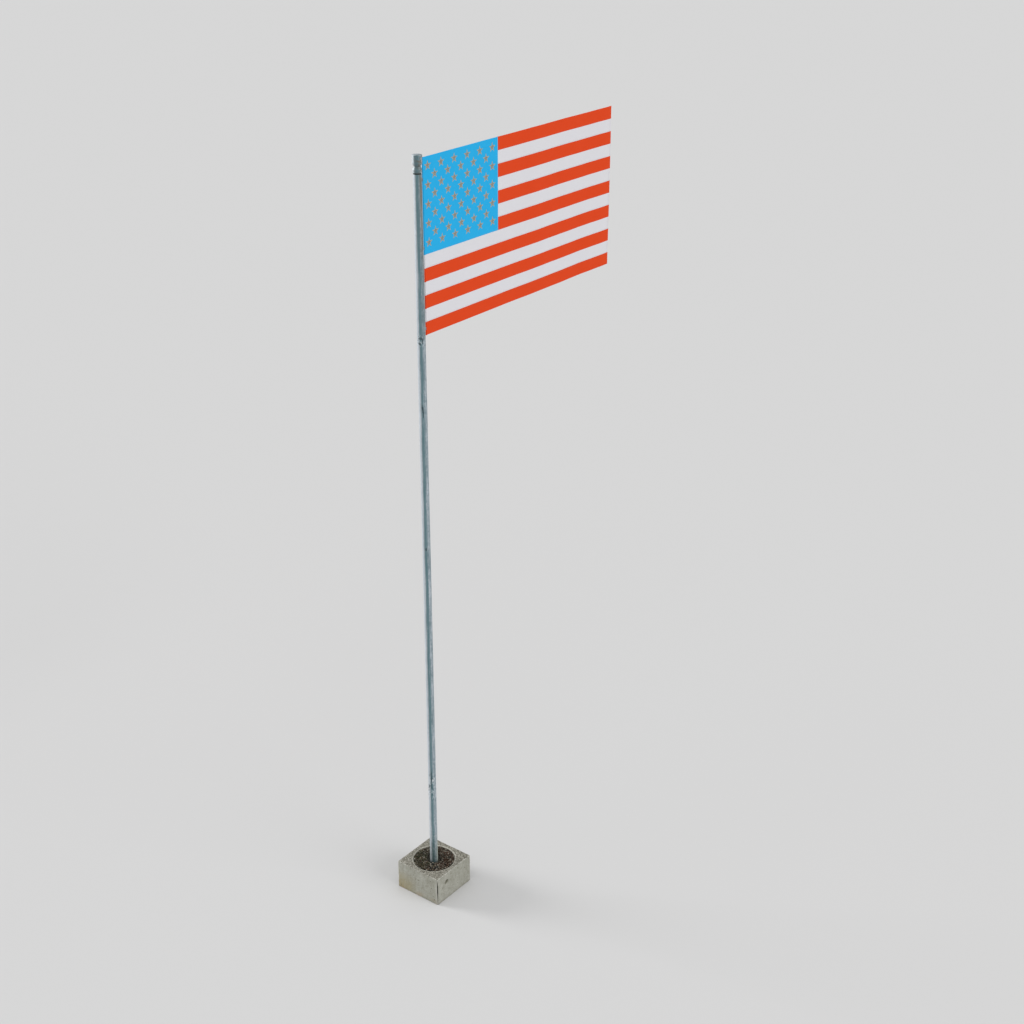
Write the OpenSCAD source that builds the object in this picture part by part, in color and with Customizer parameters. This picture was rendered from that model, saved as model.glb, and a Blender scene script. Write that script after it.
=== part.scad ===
// Flagpole: a galvanised tube set in an earth-filled concrete block, with a turned
// truck on top and a flag held straight out on a rod behind the pole.
// +Z is up and the ground is z = 0. The pole's axis is the Z axis, and the flag flies along +Y.

/* [Block] */
// Width of the square concrete block
block_w = 406; // [380:1:500]
// Height of the block
block_h = 240; // [180:1:320]
// Diameter of the round pit in the block
pit_d = 326; // [240:1:350]
// Thickness of concrete left under the pit
pit_floor_t = 40; // [25:1:80]
// Chamfer on the block's outer edges
block_chamfer = 4; // [1:0.5:10]
// Chamfer round the mouth of the pit
pit_chamfer = 3; // [1:0.5:8]
// How far the earth stays below the top of the block
earth_drop = 5; // [4:1:20]

/* [Pole] */
// Outside diameter of the pole at the ground
pole_foot_d = 61; // [56:0.5:76]
// Outside diameter of the pole at its top
pole_top_d = 58; // [54:0.5:60]
// Wall thickness of the pole
pole_wall = 3.6; // [2:0.1:5]
// Height of the pole's tube above the ground
pole_top_z = 5686; // [4500:1:7000]

/* [Truck] */
// Height of the dark reveal between the pole and the truck
reveal_h = 10; // [4:1:20]
// Diameter of the neck that shows in the reveal
neck_d = 55; // [53:0.5:56]
// Length of the plug that holds the truck in the pole
plug_l = 60; // [30:1:120]
// Gap all round between the plug and the pole's bore
plug_gap = 0.25; // [0.1:0.05:0.5]
// Diameter of the truck's lower flange
flange_d = 62.5; // [60:0.5:72]
// Height of the truck's lower flange
flange_h = 25; // [15:1:45]
// Height of the truck's V groove
groove_h = 34; // [24:1:50]
// Diameter at the bottom of the V groove
groove_d = 46; // [42:0.5:52]
// Diameter of the truck's cap
cap_d = 68; // [62:0.5:76]
// Height of the truck's cap
cap_h = 57; // [35:1:70]
// Chamfer on the rims of the truck
truck_chamfer = 1.5; // [0.5:0.5:3]
// Diameter of the spindle inside the truck
spindle_d = 30; // [16:1:34]
// Length of the spindle inside the truck
spindle_l = 80; // [50:1:90]

/* [Flag] */
// Height of one stripe
stripe_h = 93.5; // [75:0.5:115]
// Length of the flag along the fly
flag_fly = 2188; // [1750:1:2800]
// Width of the canton, from the hoist edge
canton_w = 806; // [650:1:1000]
// Thickness of the flag
flag_t = 3; // [2:0.5:4]
// Distance from the pole's axis to the flag's hoist edge
hoist_y = 49; // [45:1:80]
// Height of the truck that stands above the flag's top edge
flag_drop = 26; // [10:1:90]

/* [Stars] */
// Diameter over the points of a star
star_d = 75; // [60:1:85]
// Thickness of a star
star_t = 1; // [0.5:0.1:2]
// Hoist edge to the first column of stars
star_hoist_margin = 55; // [40:1:70]
// Last column of stars to the edge of the canton
star_fly_margin = 62; // [40:1:75]
// Top of the canton to the first row of stars
star_top_margin = 62; // [40:1:75]
// Last row of stars to the bottom of the canton
star_bottom_margin = 76; // [40:1:90]

/* [Hoist fixing] */
// Diameter of the rod inside the hoist hem
rod_d = 8; // [5:0.5:10]
// How far the rod stops short of the hem's two ends
rod_inset = 8; // [3:1:20]
// Thickness of cloth round the rod
hem_wall = 1.5; // [1:0.5:3]
// Height of a lug
lug_h = 22; // [14:1:40]
// Thickness of a lug
lug_t = 5; // [3:0.5:8]
// Gap all round a lug in the slit that lets it into the hem
slit_gap = 0.5; // [0.25:0.25:1.5]
// Distance from the pole's top down to the middle of the top lug
lug_top_drop = 46; // [30:1:120]
// Distance from the canton's bottom edge up to the middle of the middle lug
lug_middle_rise = 47; // [30:1:200]
// Distance from the flag's bottom edge up to the middle of the bottom lug
lug_bottom_rise = 47; // [30:1:200]

/* [Hidden] */

$fn = 96;
eps = 0.5;                       // how far a cut runs past the face that it opens

concrete = [0.62, 0.62, 0.58];
earth = [0.27, 0.24, 0.20];
galvanised = [0.60, 0.66, 0.69];
canton_blue = [0.18, 0.68, 0.91];
star_tan = [0.55, 0.52, 0.48];
stripe_red = [0.87, 0.29, 0.14];
stripe_white = [0.86, 0.86, 0.87];

stripe_n = 13;
canton_stripes = 7;              // stripes beside the canton
star_rows = 9;
star_cols = 11;
star_points = 5;
star_inner = 0.382;              // inner radius over outer radius of a true pentagram

earth_top = block_h - earth_drop;

flange_z = pole_top_z + reveal_h;
groove_z = flange_z + flange_h;
waist_z = groove_z + groove_h / 2;
cap_z = groove_z + groove_h;
top_z = cap_z + cap_h;

flag_hoist = stripe_h * stripe_n;
flag_top = top_z - flag_drop;
flag_bottom = flag_top - flag_hoist;
canton_h = stripe_h * canton_stripes;
hem_w = rod_d + 2 * hem_wall;    // the hem is as thick as it is wide
rod_y = hoist_y + hem_w / 2;
panel_y = hoist_y + hem_w;       // where the flat cloth begins

star_col_pitch = (canton_w - star_hoist_margin - star_fly_margin) / (star_cols - 1);
star_row_pitch = (canton_h - star_top_margin - star_bottom_margin) / (star_rows - 1);

lug_zs = [min(pole_top_z, flag_top) - lug_top_drop,
          flag_top - canton_h + lug_middle_rise,
          flag_bottom + lug_bottom_rise];

// A bar with a square section whose four long edges are chamfered
module chamfered_square(w, h, c) {
    corner = w / 2 - c;
    linear_extrude(h)
        polygon([[w / 2, corner], [corner, w / 2], [-corner, w / 2], [-w / 2, corner],
                 [-w / 2, -corner], [-corner, -w / 2], [corner, -w / 2], [w / 2, -corner]]);
}

// The wedge that a chamfer takes off one top edge of the block
module top_edge_cut() {
    translate([block_w / 2, 0, block_h])
        rotate([90, 0, 0])
            linear_extrude(block_w + 2 * eps, center = true)
                polygon([[-block_chamfer, 0], [0, -block_chamfer], [eps, -block_chamfer],
                         [eps, eps], [-block_chamfer, eps]]);
}

module concrete_block() {
    color(concrete)
        difference() {
            chamfered_square(block_w, block_h, block_chamfer);
            for (side = [0 : 3])
                rotate(90 * side)
                    top_edge_cut();
            translate([0, 0, pit_floor_t])
                cylinder(h = block_h, d = pit_d);
            translate([0, 0, block_h - pit_chamfer])
                cylinder(h = 2 * pit_chamfer, d1 = pit_d, d2 = pit_d + 4 * pit_chamfer);
        }
}

module earth_fill() {
    color(earth)
        translate([0, 0, pit_floor_t])
            difference() {
                cylinder(h = earth_top - pit_floor_t, d = pit_d);
                translate([0, 0, -eps])
                    cylinder(h = earth_top, d = pole_foot_d);
            }
}

// The pole's outline, grown or shrunk all round: straight in the earth, tapered above it
module pole_outline(grow) {
    translate([0, 0, pit_floor_t])
        cylinder(h = earth_top - pit_floor_t, d = pole_foot_d + 2 * grow);
    translate([0, 0, earth_top])
        cylinder(h = pole_top_z - earth_top, d1 = pole_foot_d + 2 * grow, d2 = pole_top_d + 2 * grow);
}

module pole_tube() {
    pole_bore_d = pole_top_d - 2 * pole_wall;
    color(galvanised)
        difference() {
            pole_outline(0);
            pole_outline(-pole_wall);
            translate([0, 0, pit_floor_t - eps])
                cylinder(h = 2 * eps, d = pole_foot_d - 2 * pole_wall);
            translate([0, 0, pole_top_z - eps])
                cylinder(h = 2 * eps, d = pole_bore_d);
        }
}

// The plug, the neck that shows in the reveal, and the spindle that the truck stands on
module truck_spindle() {
    color(galvanised) {
        translate([0, 0, pole_top_z - plug_l])
            cylinder(h = plug_l, d = pole_top_d - 2 * pole_wall - 2 * plug_gap);
        translate([0, 0, pole_top_z])
            cylinder(h = reveal_h, d = neck_d);
        translate([0, 0, flange_z])
            cylinder(h = spindle_l, d = spindle_d);
    }
}

// The truck's half section, from the axis out
module truck_profile() {
    polygon([[0, flange_z],
             [flange_d / 2 - truck_chamfer, flange_z],
             [flange_d / 2, flange_z + truck_chamfer],
             [flange_d / 2, groove_z],
             [groove_d / 2, waist_z],
             [cap_d / 2, cap_z],
             [cap_d / 2, top_z - truck_chamfer],
             [cap_d / 2 - truck_chamfer, top_z],
             [0, top_z]]);
}

module truck_spool() {
    color(galvanised)
        difference() {
            rotate_extrude()
                truck_profile();
            translate([0, 0, flange_z - eps])
                cylinder(h = spindle_l + eps, d = spindle_d);
        }
}

module hoist_rod() {
    color(galvanised)
        translate([0, rod_y, flag_bottom + rod_inset])
            cylinder(h = flag_hoist - 2 * rod_inset, d = rod_d);
}

// A tab welded to the back of the pole and, inside the hem, to the hoist rod
module hoist_lug(z) {
    color(galvanised)
        translate([0, 0, z - lug_h / 2])
            difference() {
                translate([-lug_t / 2, 0, 0])
                    cube([lug_t, rod_y, lug_h]);
                translate([0, rod_y, -eps])
                    cylinder(h = lug_h + 2 * eps, d = rod_d);
                translate([0, 0, lug_h / 2 - z])
                    pole_outline(0);
            }
}

// The hem that the rod runs in, slit on the pole's side where the lugs go in
module hoist_hem() {
    slit_w = lug_t + 2 * slit_gap;
    slit_h = lug_h + 2 * slit_gap;
    color(canton_blue)
        difference() {
            translate([-hem_w / 2, hoist_y, flag_bottom])
                cube([hem_w, hem_w, flag_hoist]);
            translate([0, rod_y, flag_bottom + rod_inset])
                cylinder(h = flag_hoist - 2 * rod_inset, d = rod_d);
            for (z = lug_zs)
                translate([-slit_w / 2, hoist_y - eps, z - slit_h / 2])
                    cube([slit_w, hem_w / 2 + eps, slit_h]);
        }
}

module canton() {
    color(canton_blue)
        translate([-flag_t / 2, panel_y, flag_top - canton_h])
            cube([flag_t, hoist_y + canton_w - panel_y, canton_h]);
}

// Stripe number 1 is the top one. The first seven begin at the canton, the rest at the hem.
module stripe(number) {
    start_y = number <= canton_stripes ? hoist_y + canton_w : panel_y;
    color(number % 2 == 1 ? stripe_red : stripe_white)
        translate([-flag_t / 2, start_y, flag_top - number * stripe_h])
            cube([flag_t, hoist_y + flag_fly - start_y, stripe_h]);
}

// One star standing on the plane x = 0, with a point up
module star() {
    rotate([90, 0, 90])
        linear_extrude(star_t)
            polygon([for (i = [0 : 2 * star_points - 1])
                let(r = star_d / 2 * (i % 2 == 0 ? 1 : star_inner), a = 90 + i * 180 / star_points)
                [r * cos(a), r * sin(a)]]);
}

// Stars stand where row and column are both odd or both even
module stars() {
    color(star_tan)
        for (row = [0 : star_rows - 1], col = [row % 2 : 2 : star_cols - 1])
            translate([flag_t / 2, hoist_y + star_hoist_margin + col * star_col_pitch,
                       flag_top - star_top_margin - row * star_row_pitch])
                star();
}

concrete_block();
earth_fill();
pole_tube();
truck_spindle();
truck_spool();
hoist_rod();
hoist_lug(lug_zs[0]);  // hoist_lug_top
hoist_lug(lug_zs[1]);  // hoist_lug_middle
hoist_lug(lug_zs[2]);  // hoist_lug_bottom
hoist_hem();
canton();
stars();  // stars_front
mirror([1, 0, 0]) stars();  // stars_back
stripe(1);  // stripe_01
stripe(2);  // stripe_02
stripe(3);  // stripe_03
stripe(4);  // stripe_04
stripe(5);  // stripe_05
stripe(6);  // stripe_06
stripe(7);  // stripe_07
stripe(8);  // stripe_08
stripe(9);  // stripe_09
stripe(10);  // stripe_10
stripe(11);  // stripe_11
stripe(12);  // stripe_12
stripe(13);  // stripe_13
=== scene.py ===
import math
import random

import bpy
import numpy as np
from mathutils import Matrix, Vector, noise


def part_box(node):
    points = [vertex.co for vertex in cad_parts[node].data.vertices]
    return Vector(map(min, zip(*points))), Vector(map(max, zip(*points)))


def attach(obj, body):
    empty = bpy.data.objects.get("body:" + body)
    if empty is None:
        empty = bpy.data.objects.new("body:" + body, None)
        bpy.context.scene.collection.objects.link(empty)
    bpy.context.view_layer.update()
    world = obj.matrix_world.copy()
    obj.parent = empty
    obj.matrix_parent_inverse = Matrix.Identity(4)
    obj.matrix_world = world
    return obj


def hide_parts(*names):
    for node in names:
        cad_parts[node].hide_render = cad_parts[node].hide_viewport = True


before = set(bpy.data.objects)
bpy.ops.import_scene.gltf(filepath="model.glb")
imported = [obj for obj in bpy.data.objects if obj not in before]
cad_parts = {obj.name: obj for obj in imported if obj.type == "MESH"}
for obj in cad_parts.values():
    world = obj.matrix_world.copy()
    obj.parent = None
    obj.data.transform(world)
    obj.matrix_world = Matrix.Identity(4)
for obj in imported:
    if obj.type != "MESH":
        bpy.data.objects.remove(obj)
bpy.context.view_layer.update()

# All sizes are metres. The pole stands on the Z axis and the flag flies along +Y.
MM = 0.001
BODY = "root"
STRIPES = 13
CANTON_STRIPES = 7

# ---------------- where things are

BLOCK_LOW, BLOCK_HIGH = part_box("concrete_block")
EARTH_LOW, EARTH_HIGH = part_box("earth_fill")
POLE_LOW, POLE_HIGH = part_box("pole_tube")
TRUCK_LOW, TRUCK_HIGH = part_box("truck_spool")
ROD_LOW, ROD_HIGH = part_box("hoist_rod")
HEM_LOW, HEM_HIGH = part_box("hoist_hem")
CANTON_LOW, CANTON_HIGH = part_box("canton")
FLY_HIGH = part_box("stripe_13")[1]

BLOCK_HALF = (BLOCK_HIGH.x - BLOCK_LOW.x) / 2
BLOCK_H = BLOCK_HIGH.z
PIT_R = EARTH_HIGH.x
PIT_FLOOR = EARTH_LOW.z
EARTH_TOP = EARTH_HIGH.z
POLE_FOOT_R = POLE_HIGH.x
POLE_TOP_R = 29 * MM
POLE_TOP_Z = POLE_HIGH.z
POLE_WALL = 3.6 * MM
TRUCK_FOOT_R = 24 * MM
FLANGE_R = 31.25 * MM
FLANGE_TOP = TRUCK_LOW.z + 25 * MM
CAP_LOW = FLANGE_TOP + 34 * MM
GROOVE_R = 23 * MM
GROOVE_Z = (FLANGE_TOP + CAP_LOW) / 2
ROD_Y = (ROD_LOW.y + ROD_HIGH.y) / 2
ROD_R = ROD_HIGH.x
HOIST_Y = HEM_LOW.y
FLY_Y = FLY_HIGH.y
FLAG_TOP = CANTON_HIGH.z
FLAG_LOW = HEM_LOW.z
STRIPE_H = (FLAG_TOP - FLAG_LOW) / STRIPES
CANTON_Y = CANTON_HIGH.y
CANTON_Z = CANTON_LOW.z
LUGS = ["hoist_lug_top", "hoist_lug_middle", "hoist_lug_bottom"]
LUG_ZS = [(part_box(n)[0].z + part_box(n)[1].z) / 2 for n in LUGS]
LUG_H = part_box(LUGS[0])[1].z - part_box(LUGS[0])[0].z
STAR_R = 37.5 * MM
STAR_WAIST = 0.382            # how far out a star's inner corners lie, as a share of its points
STAR_BORDER = 3.6 * MM
THREAD = 0.9 * MM
# The big pock in the block's +X face, as (middle, radius, depth)
POCK = [((BLOCK_HALF, -0.082, 0.168), 0.0125, 0.006), ((BLOCK_HALF, -0.089, 0.164), 0.0145, 0.007),
        ((BLOCK_HALF, -0.096, 0.159), 0.0170, 0.007)]
# The pole's knocks: height, degrees round from +X, half width, half height, depth in mm, bare or not
KNOCKS = [(4.566, -66, 0.016, 0.006, 1.0, False), (4.548, -36, 0.005, 0.018, 0.8, False),
          (4.530, -74, 0.010, 0.008, 0.8, False), (4.070, -62, 0.004, 0.018, 0.9, False),
          (4.047, -52, 0.006, 0.018, 1.4, False), (4.018, -46, 0.004, 0.022, 0.8, False),
          (2.973, -52, 0.006, 0.013, 0.6, False), (1.000, -60, 0.004, 0.075, 0.7, False),
          (0.990, -38, 0.010, 0.017, 1.5, True), (0.940, -92, 0.009, 0.011, 0.9, False),
          (0.908, -108, 0.011, 0.015, 1.2, True)]


# ---------------- making pieces

def nothing_selected():
    """Leaves nothing selected, so that an operator acts on the new piece alone."""
    if bpy.context.object and bpy.context.object.mode != "OBJECT":
        bpy.ops.object.mode_set(mode="OBJECT")
    bpy.ops.object.select_all(action="DESELECT")


def named(name):
    """Names the active piece and its mesh."""
    piece = bpy.context.object
    piece.name = piece.data.name = name
    return piece


def added(name, primitive, **how):
    """Adds a primitive, with nothing else selected, and names it."""
    nothing_selected()
    primitive(**how)
    return named(name)


def places(piece):
    """The piece's vertices as an array."""
    found = np.empty(len(piece.data.vertices) * 3)
    piece.data.vertices.foreach_get("co", found)
    return found.reshape(-1, 3)


def put_places(piece, where):
    """Moves the piece's vertices."""
    piece.data.vertices.foreach_set("co", np.asarray(where, float).ravel())
    piece.data.update()


def alone(piece):
    """Makes a piece the only one selected, and the active one."""
    nothing_selected()
    piece.select_set(True)
    bpy.context.view_layer.objects.active = piece


def edit(faces=False):
    """Opens the active piece for editing, with all of it selected."""
    bpy.ops.object.mode_set(mode="EDIT")
    if faces:
        bpy.ops.mesh.select_mode(type="FACE")
    bpy.ops.mesh.select_all(action="SELECT")


def edited():
    """Closes the piece that was open for editing."""
    bpy.ops.object.mode_set(mode="OBJECT")


def extrude_up(height):
    """Extrudes what is selected straight up, or down where the height is below 0."""
    bpy.ops.mesh.extrude_region_move(TRANSFORM_OT_translate={"value": (0, 0, height)})


def widen(share, centre):
    """Makes what is selected wider or narrower, and keeps its height."""
    bpy.ops.transform.resize(value=(share, share, 1), center_override=centre)


def apply_all(piece):
    """Applies every modifier of a piece."""
    alone(piece)
    for modifier in list(piece.modifiers):
        bpy.ops.object.modifier_apply(modifier=modifier.name)


def at_origin(piece):
    """Moves a piece's place into its mesh."""
    alone(piece)
    bpy.ops.object.transform_apply(location=True, rotation=True, scale=True)


def copied(shape, move):
    """A copy of a shape, moved in its mesh."""
    copy = shape.copy()
    copy.data = shape.data.copy()
    copy.data.transform(move)
    bpy.context.collection.objects.link(copy)
    return copy


def joined(name, parts):
    """Makes one piece of several."""
    alone(parts[0])
    for part in parts:
        part.select_set(True)
    bpy.ops.object.join()
    return named(name)


def outwards(piece):
    """Merges doubles and turns every face outwards."""
    alone(piece)
    edit()
    bpy.ops.mesh.remove_doubles(threshold=1e-6)
    bpy.ops.mesh.normals_make_consistent(inside=False)
    edited()


def smooth(piece, angle):
    """Shades a piece smooth, apart from edges sharper than the angle."""
    alone(piece)
    bpy.ops.object.shade_smooth_by_angle(angle=math.radians(angle))


def bevelled(piece, width, segments=2, angle=30):
    """Bevels every edge that is sharper than the angle."""
    bevel = piece.modifiers.new("bevel", "BEVEL")
    bevel.width = width
    bevel.segments = segments
    bevel.limit_method = "ANGLE"
    bevel.angle_limit = math.radians(angle)
    apply_all(piece)


def turned(name, rings, around, centre=(0, 0)):
    """A turned piece: a circle is extruded up and resized ring by ring, as (height, radius)."""
    z, radius = rings[0]
    piece = added(name, bpy.ops.mesh.primitive_circle_add, vertices=around, radius=radius,
                  fill_type="NGON", location=(*centre, z))
    at_origin(piece)
    edit(faces=True)
    for next_z, next_radius in rings[1:]:
        extrude_up(next_z - z)
        widen(next_radius / radius, (*centre, next_z))
        z, radius = next_z, next_radius
    edited()
    outwards(piece)
    return piece


def settled(piece, finish, nodes=()):
    """Gives a finished piece its material and its body, and hides the nodes of the model that it stands
    for.
    """
    piece.data.materials.clear()
    piece.data.materials.append(finish)
    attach(piece, BODY)
    if nodes:
        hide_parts(*nodes)
    return piece


def step(value, low, high):
    """A smooth step from 0 to 1, for arrays."""
    t = np.clip((value - low) / (high - low), 0, 1)
    return t * t * (3 - 2 * t)


# ---------------- shaders

class Wire:
    """One output of a shader node. Sums with it add Math nodes, and node() adds any other."""

    def __init__(self, output):
        self.output = output

    def node(self, kind, settings=None, inputs=None, out=0):
        """Adds a node: its settings first, then the values or wires of its sockets."""
        made = self.output.id_data.nodes.new(kind)
        for name, value in (settings or {}).items():
            if name == "stops":
                set_stops(made.color_ramp, value)
            else:
                setattr(made, name, value)
        for name, value in (inputs or {}).items():
            plug(made.inputs[name], value)
        return Wire(made.outputs[out])

    def maths(self, operation, *others):
        """Adds a Math node, with this wire as its first value."""
        return self.node("ShaderNodeMath", {"operation": operation}, dict(enumerate((self, *others))))

    def __add__(self, other):
        return self.maths("ADD", other)

    def __sub__(self, other):
        return self.maths("SUBTRACT", other)

    def __rsub__(self, other):
        return self.node("ShaderNodeMath", {"operation": "SUBTRACT"}, {0: other, 1: self})

    def __mul__(self, other):
        return self.maths("MULTIPLY", other)

    def __truediv__(self, other):
        return self.maths("DIVIDE", other)

    def __mod__(self, other):
        return self.maths("FLOORED_MODULO", other)

    def __abs__(self):
        return self.maths("ABSOLUTE")

    __radd__ = __add__
    __rmul__ = __mul__


def plug(socket, value):
    """Links a wire to a socket, or sets the socket's own value."""
    if isinstance(value, Wire):
        socket.id_data.links.new(value.output, socket)
    elif isinstance(value, tuple) and len(value) == 3 and socket.type == "RGBA":
        socket.default_value = (*value, 1)
    else:
        socket.default_value = value


def set_stops(ramp, stops):
    """Sets a colour ramp's stops, as (position, colour)."""
    while len(ramp.elements) < len(stops):
        ramp.elements.new(0.5)
    for element, (position, colour) in zip(ramp.elements, stops):
        element.position = position
        element.color = (*colour, 1)


def srgb(red, green, blue):
    """A colour as it shows on a screen, 0 to 255, in the shader's linear numbers."""
    def linear(c):
        """One channel of it."""
        c /= 255
        return c / 12.92 if c <= 0.04045 else ((c + 0.055) / 1.055) ** 2.4
    return linear(red), linear(green), linear(blue)


def new_finish(name, coordinates="Object"):
    """A new material and the wire of its coordinates."""
    material = bpy.data.materials.new(name)
    material.use_nodes = True
    start = material.node_tree.nodes.new("ShaderNodeTexCoord")
    return material, Wire(start.outputs[coordinates])


def set_shader(material, **values):
    """Sets the Principled shader's sockets, with _ for a space in a name."""
    shader = material.node_tree.nodes["Principled BSDF"]
    for name, value in values.items():
        plug(shader.inputs[name.replace("_", " ")], value)
    return material


def parts_of(place):
    """The three coordinates of a vector wire."""
    split = place.node("ShaderNodeSeparateXYZ", inputs={0: place})
    outputs = split.output.node.outputs
    return Wire(outputs[0]), Wire(outputs[1]), Wire(outputs[2])


def stretched(place, x, y, z):
    """Coordinates made larger or smaller along each axis."""
    return place.node("ShaderNodeVectorMath", {"operation": "MULTIPLY"}, {0: place, 1: (x, y, z)})


def clouds(place, size, detail, rough, distortion=0.0):
    """Noise with lumps about size across."""
    return place.node("ShaderNodeTexNoise", inputs={
        "Vector": place, "Scale": 1 / size, "Detail": detail, "Roughness": rough,
        "Distortion": distortion})


def cells(place, size, what="Distance"):
    """Cells about size across: the distance to a cell's middle, or a colour for each cell."""
    return place.node("ShaderNodeTexVoronoi", inputs={"Vector": place, "Scale": 1 / size}, out=what)


def ease(value, low, high, start=0.0, end=1.0):
    """A smooth step of a wire from start to end."""
    return value.node("ShaderNodeMapRange", {"interpolation_type": "SMOOTHSTEP"}, {
        "Value": value, "From Min": low, "From Max": high, "To Min": start, "To Max": end})


def least(a, b):
    """The lower of two values."""
    return a.maths("MINIMUM", b)


def most(a, b):
    """The higher of two values."""
    return a.maths("MAXIMUM", b)


def root_of(value):
    """The square root of a value."""
    return value.maths("SQRT")


def blend(amount, a, b):
    """Colour a, with colour b laid over it by an amount."""
    return amount.node("ShaderNodeMix", {"data_type": "RGBA"}, {0: amount, 6: a, 7: b}, 2)


def layered(base, *layers):
    """A colour with others laid over it in turn, each as (amount, screen colour)."""
    for amount, colour in layers:
        base = blend(amount, base, srgb(*colour))
    return base


def ramp(value, *stops):
    """Colours along a value, each as (position, colour)."""
    return value.node("ShaderNodeValToRGB", {"stops": stops}, {0: value})


def shades(value, *stops):
    """Colours along a value, each as (position, screen colour)."""
    return ramp(value, *[(position, srgb(*colour)) for position, colour in stops])


def raised(height, distance, over=None):
    """A bump: height 0 to 1 over a real distance, laid over an earlier bump."""
    inputs = {"Height": height, "Distance": distance, "Strength": 1.0}
    if over:
        inputs["Normal"] = over
    return height.node("ShaderNodeBump", inputs=inputs)


# ---------------- finishes

def concrete_finish():
    """Pale cast concrete: grain, stains, worn edges, pinholes, and the joint that its mould left."""
    material, place = new_finish("cast_concrete")
    top = ease(parts_of(place)[2], BLOCK_H - 0.010, BLOCK_H - 0.003)
    lumps = clouds(place, 0.12, 5, 0.6)
    mottle = clouds(place, 0.028, 4, 0.6)
    sand = clouds(place, 0.0022, 2, 0.6)
    gravel = spread(clouds(place, 0.0115, 4, 0.75))
    grain = shade_of(cells(place, 0.0045, "Color"))
    pinholes = ease(cells(place, 0.016), 0.10, 0.16, 1.0, 0.0) * ease(mottle, 0.42, 0.62)
    base = cast_tone(top, lumps, mottle, gravel)
    base = layered(base, (ease(grain, 0.2, 0.9) * 0.16, (112, 109, 98)),
                   (ease(sand, 0.35, 0.7) * 0.12, (206, 204, 196)))
    base = stained(base, place, top, lumps, mottle)
    base = worn(base, place, lumps, mottle, pinholes)
    line, beside = mould_joint(place)
    base = layered(base, (beside * 0.50, (214, 214, 206)), (line * 0.9, (50, 48, 40)))
    fine = raised(sand * 0.5 + grain * 0.5, 0.0009)
    holes = raised(1 - pinholes, 0.0016, raised(gravel, 0.0014, fine))
    return set_shader(material, Base_Color=base, Roughness=ease(mottle, 0.2, 0.8, 0.84, 0.96),
                      Normal=raised(1 - line, 0.003, holes), Specular_IOR_Level=0.3)


def cast_tone(top, lumps, mottle, gravel):
    """Concrete's colour: an even grey on the sides, and on top a darker grey, which is painted shade, with
    coarse gravelly speckle.
    """
    side = shades(lumps * 0.5 + mottle * 0.5, (0.32, (138, 138, 124)), (0.50, (156, 156, 145)),
                  (0.68, (172, 172, 162)))
    side = layered(side, (ease(gravel, 0.55, 0.85) * 0.10, (200, 198, 188)),
                   (ease(gravel, 0.45, 0.15) * 0.16, (92, 88, 76)))
    # The top's darker grey is painted shade; the gravel's speckle lies in it.
    gravelly_painted_shade_top = shades(gravel * 0.75 + lumps * 0.25, (0.22, (66, 63, 54)), (0.42, (116, 113, 101)),
                   (0.62, (136, 134, 123)), (0.82, (190, 187, 176)))
    return blend(top, side, gravelly_painted_shade_top)


def on_front(y):
    """1 on the block's -Y face."""
    return ease(y, -BLOCK_HALF + 0.006, -BLOCK_HALF + 0.002)


def stained(base, place, top, lumps, mottle):
    """Lays brown and rust low on the front, weather runs down the sides and grime along the foot."""
    x, y, z = parts_of(place)
    brown = on_front(y) * ease(x + lumps * 0.10, 0.08, -0.12) * ease(z + mottle * 0.08, 0.24, 0.10)
    rust = on_front(y) * ease(z + mottle * 0.05, 0.085, 0.030) * ease(lumps, 0.42, 0.60)
    runs = clouds(stretched(place, 1, 1, 0.10), 0.016, 3, 0.6)
    foot = ease(z + mottle * 0.03, 0.050, 0.014)
    return layered(base, (brown * ease(mottle, 0.25, 0.65, 0.35, 0.75), (150, 138, 100)),
                   (rust * 0.35, (160, 130, 88)),
                   (ease(runs, 0.54, 0.70) * (1 - top) * 0.26, (122, 120, 106)),
                   (ease(runs, 0.44, 0.32) * (1 - top) * 0.16, (192, 192, 184)),
                   (foot * 0.18, (118, 112, 92)))


def worn(base, place, lumps, mottle, pinholes):
    """Rubs the arrises and the pit's mouth pale, and darkens the pit's wall, the pinholes and the pores."""
    x, y, z = parts_of(place)
    away_x, away_y, away_z = BLOCK_HALF - abs(x), BLOCK_HALF - abs(y), BLOCK_H - z
    off_arris = least(least(away_x + away_y, away_x + away_z), away_y + away_z)
    arris = ease(off_arris + mottle * 0.012, 0.0145, 0.0075)
    rubbed = most(ease(x, BLOCK_HALF - 0.03, BLOCK_HALF - 0.01), ease(lumps, 0.46, 0.60))
    radius = root_of(x * x + y * y)
    rim = ease(abs(radius - PIT_R - 0.004) + mottle * 0.008, 0.011, 0.005)
    rim = rim * ease(z, BLOCK_H - 0.02, BLOCK_H - 0.008)
    inside = ease(radius, PIT_R + 0.001, PIT_R - 0.001) * ease(z, BLOCK_H - 0.002, BLOCK_H - 0.010)
    pore = piece_attribute(place, "pore")
    return layered(base, (arris * (rubbed * 0.35 + 0.35), (200, 201, 192)), (rim * 0.72, (196, 194, 183)),
                   (inside * 0.7, (88, 80, 68)),
                   (most(pinholes * 0.6, ease(pore, 0.05, 0.7) * 0.72), (92, 91, 72)))


def mould_joint(place):
    """The dark line that the mould's joint leaves down one arris, and the pale band beside it."""
    x, y, z = parts_of(place)
    wander = clouds(stretched(place, 0, 0, 1), 0.03, 3, 0.6) * 0.004
    tall = ease(z, 0.006, 0.15, 0.25, 1.0) * ease(z, BLOCK_H - 0.004, BLOCK_H - 0.06)
    line = ease(BLOCK_HALF - x + BLOCK_HALF + y + wander, 0.0118, 0.0082) * tall
    beside = ease(abs(BLOCK_HALF - x - 0.0135), 0.0060, 0.0030) * on_front(y) * tall
    return line, beside


def spread(value):
    """A noise stretched to fill 0 to 1."""
    return ease(value, 0.30, 0.70)


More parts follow.
